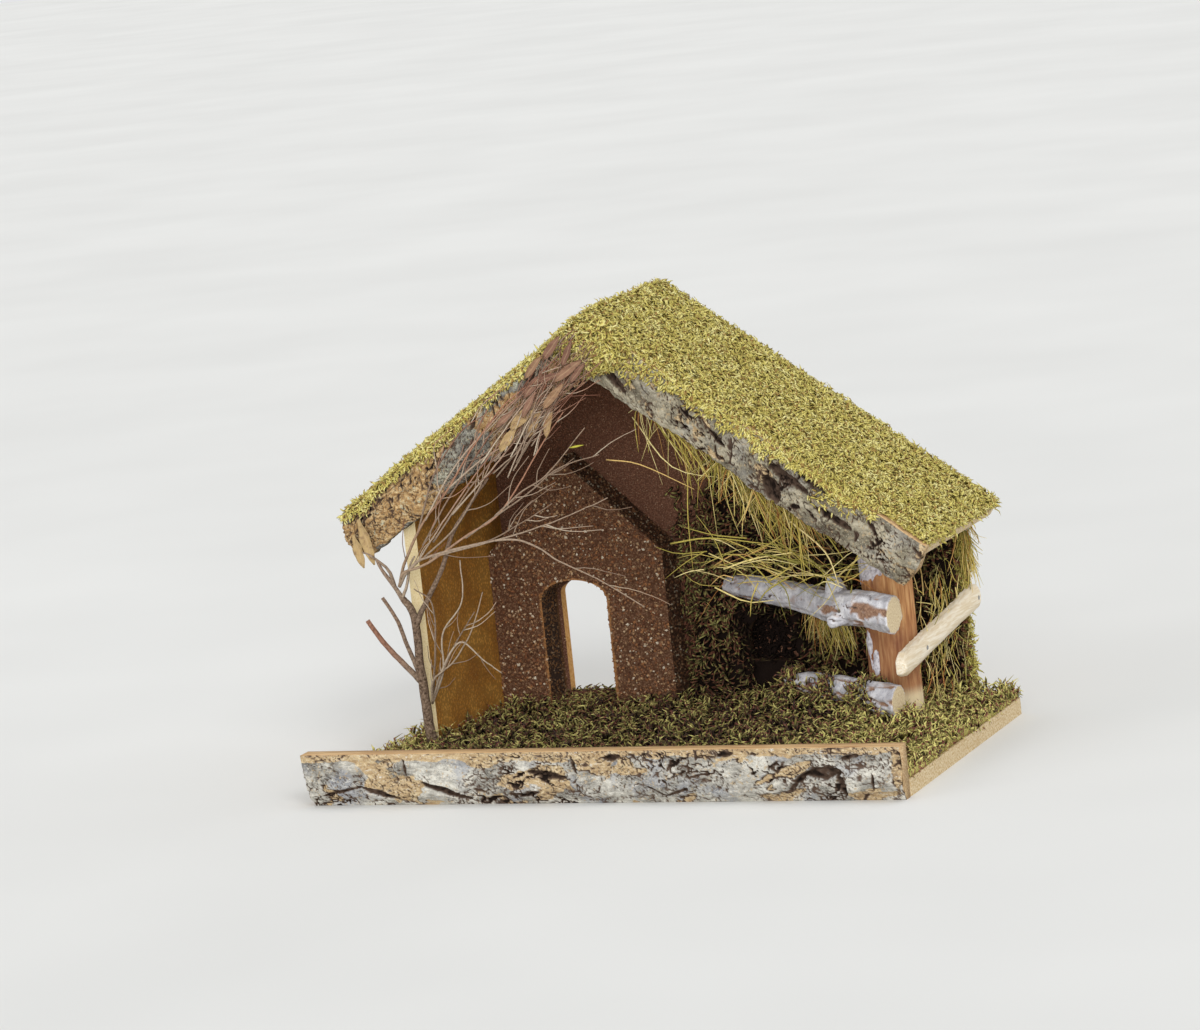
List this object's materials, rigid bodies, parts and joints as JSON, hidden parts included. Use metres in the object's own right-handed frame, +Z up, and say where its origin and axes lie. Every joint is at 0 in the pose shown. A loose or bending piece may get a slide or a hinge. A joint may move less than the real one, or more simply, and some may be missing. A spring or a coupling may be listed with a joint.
{
  "type": "nativity stable",
  "caption": "Open timber nativity stable with a mossy gable roof, bark edges, an arched doorway, a fenced stall and a mossy base board.",
  "frame": {"origin": "centre of the base board's underside, on the table", "axes": "+X to the right along the front edge, +Y to the back, +Z up; the open front faces -Y"},
  "size_m": [0.418, 0.2491, 0.307],
  "materials": {
    "board": "raw sawn wood, matte",
    "inner_wall": "ochre stained board, matte",
    "back_board": "dark board with fine granules, matte",
    "cork_granules": "coarse cork granules, matte",
    "bark": "grey bark, rough",
    "ochre_bark": "ochre and grey bark, rough",
    "roof_moss": "dried yellow-green moss",
    "ground_moss": "dried dark green and brown moss",
    "post_wood": "orange-brown wood with scraps of white bark",
    "birch_bark": "white birch bark",
    "peeled_wood": "peeled pale stick",
    "twig": "dry grey-brown twigs",
    "dry_leaf": "dry red-brown leaves",
    "hay": "dry hay",
    "steel": "bright wire"
  },
  "bodies": {
    "root": {"base_board": "board", "roof_left_board": "board", "roof_right_board": "board", "left_wall": "inner_wall", "back_wall": "back_board", "facade_panel": "cork_granules", "front_bark_plank": "bark", "roof_right_bark": "bark", "roof_left_bark": "ochre_bark", "roof_left_moss": "roof_moss", "roof_right_moss": "roof_moss", "apex_moss": "roof_moss", "ground_moss": "ground_moss", "stall_moss": "ground_moss", "edge_moss": "ground_moss", "right_post": "post_wood", "upper_rail": "birch_bark", "lower_rail": "birch_bark", "side_rail": "peeled_wood", "tree_trunk": "twig", "tree_twigs": "twig", "low_twigs": "twig", "leafy_sprig": "dry_leaf", "eave_leaf_long": "dry_leaf", "eave_leaf_short": "dry_leaf", "hay_under_roof": "hay", "hay_behind_rail": "hay", "hay_side": "hay", "base_brad_wall_front": "steel", "base_brad_wall_rear": "steel", "base_brad_back_left": "steel", "base_brad_back_right": "steel", "base_brad_post": "steel", "roof_brad_wall_front": "steel", "roof_brad_wall_rear": "steel", "roof_brad_back_left": "steel", "roof_brad_back_mid": "steel", "roof_brad_back_right": "steel", "rail_brad_upper": "steel", "rail_brad_lower": "steel", "side_brad_front": "steel", "side_brad_rear": "steel"}
  },
  "joints": []
}
